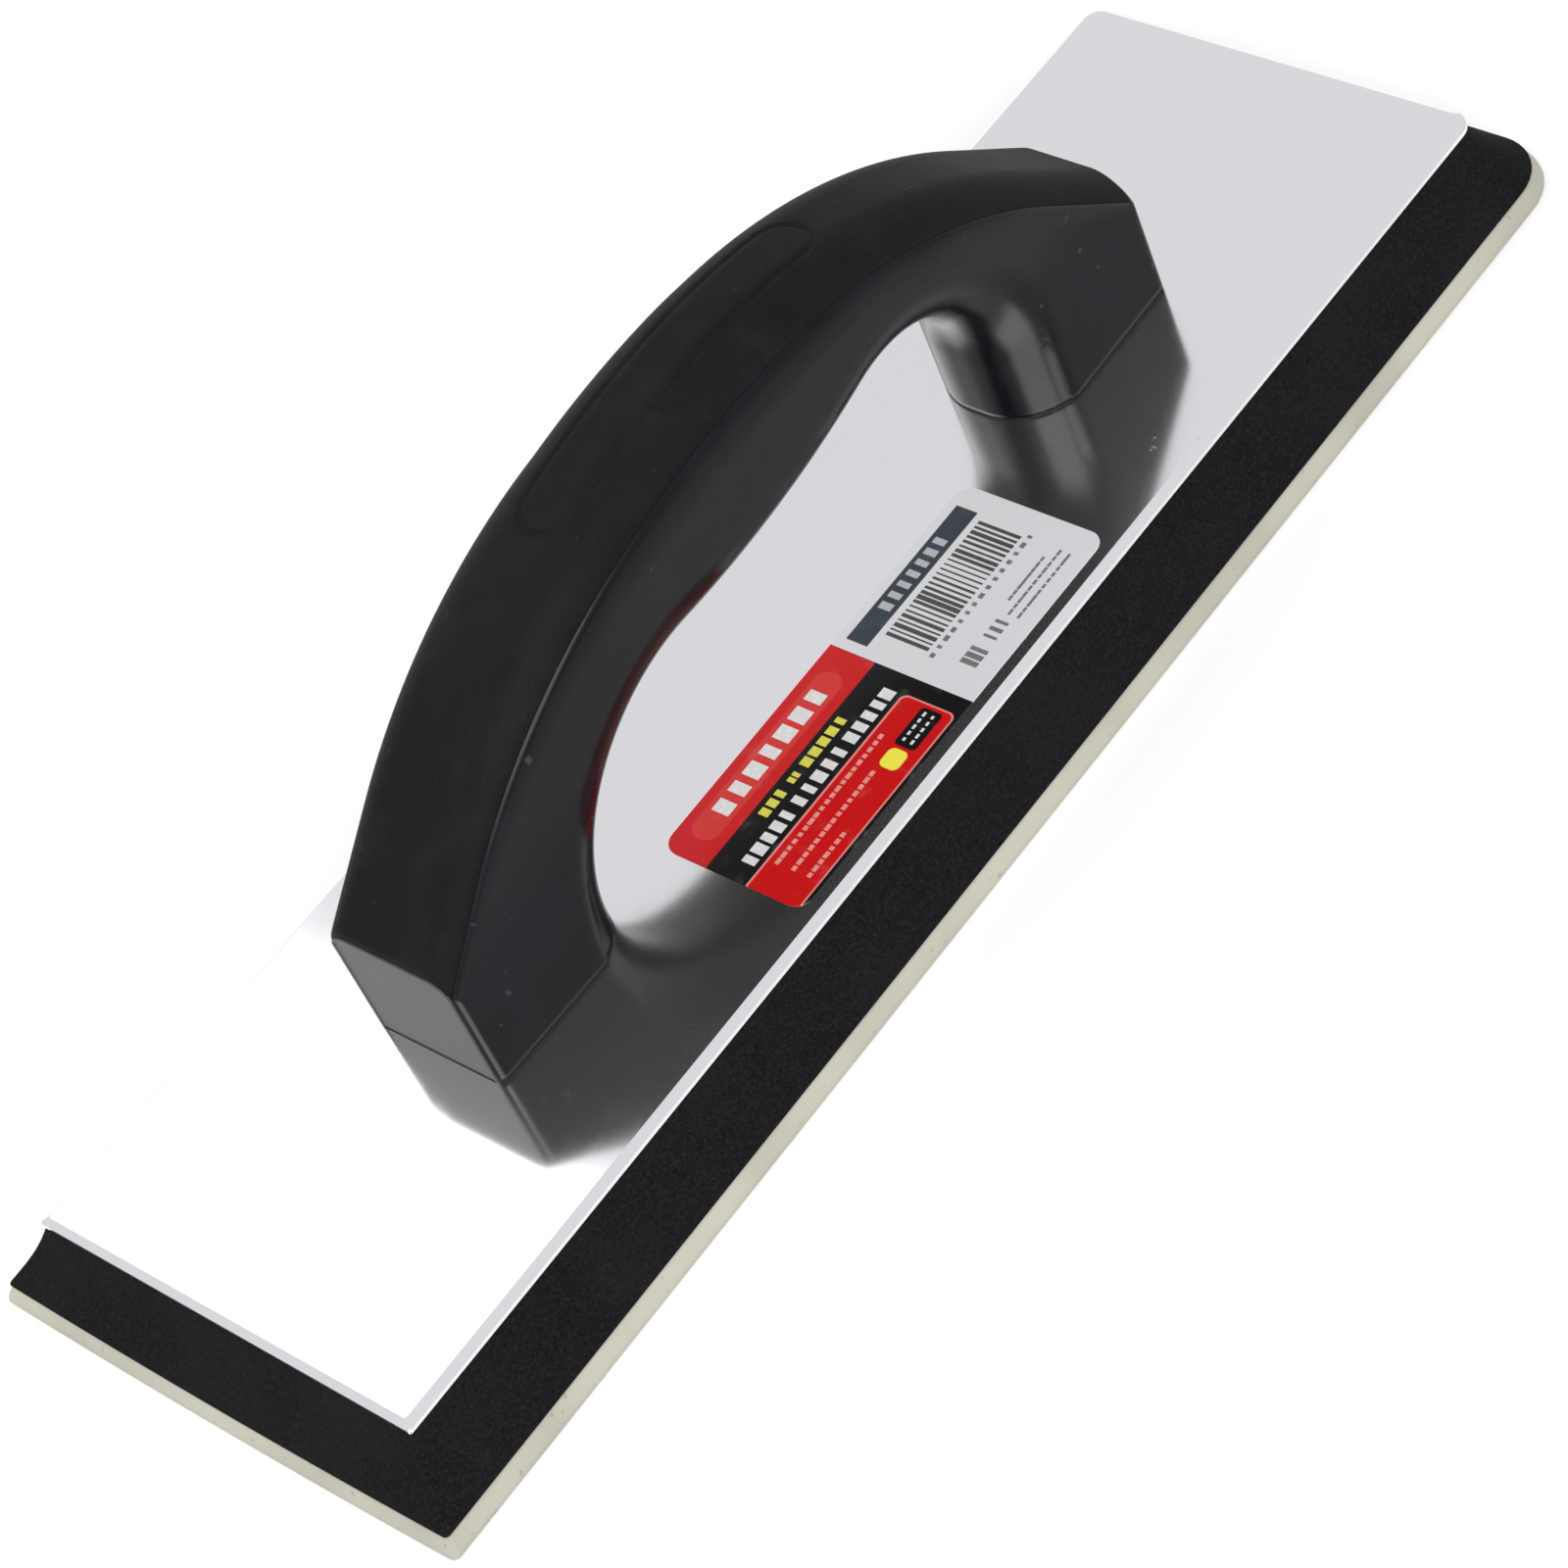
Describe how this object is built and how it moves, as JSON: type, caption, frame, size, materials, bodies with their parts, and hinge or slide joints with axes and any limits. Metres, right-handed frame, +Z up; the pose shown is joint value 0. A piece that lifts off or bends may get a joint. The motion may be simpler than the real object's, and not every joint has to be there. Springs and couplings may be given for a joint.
{
  "type": "grout float",
  "caption": "Hand grout float: flat rubber face under a flared foam pad, a polished metal backing plate and an arched soft-topped handle.",
  "frame": {"origin": "centre of the rubber face's underside, on the surface that the float works on", "axes": "+X along the float's length, towards the end with round corners; +Y across it, away from the label; +Z up, from the rubber face to the handle"},
  "size_m": [0.305, 0.1, 0.0837],
  "materials": {
    "rubber_face": "matt cream rubber",
    "foam_pad": "black closed-cell foam",
    "backing_plate": "polished",
    "handle_body": "smooth black",
    "grip_cover": "soft textured black",
    "handle_screws": "zinc plated",
    "product_label": "printed film in red, black and white"
  },
  "bodies": {
    "root": {"rubber_face": "rubber_face", "foam_pad": "foam_pad", "backing_plate": "backing_plate", "handle_body": "handle_body", "grip_cover": "grip_cover", "handle_screws": "handle_screws", "product_label": "product_label"}
  },
  "joints": []
}
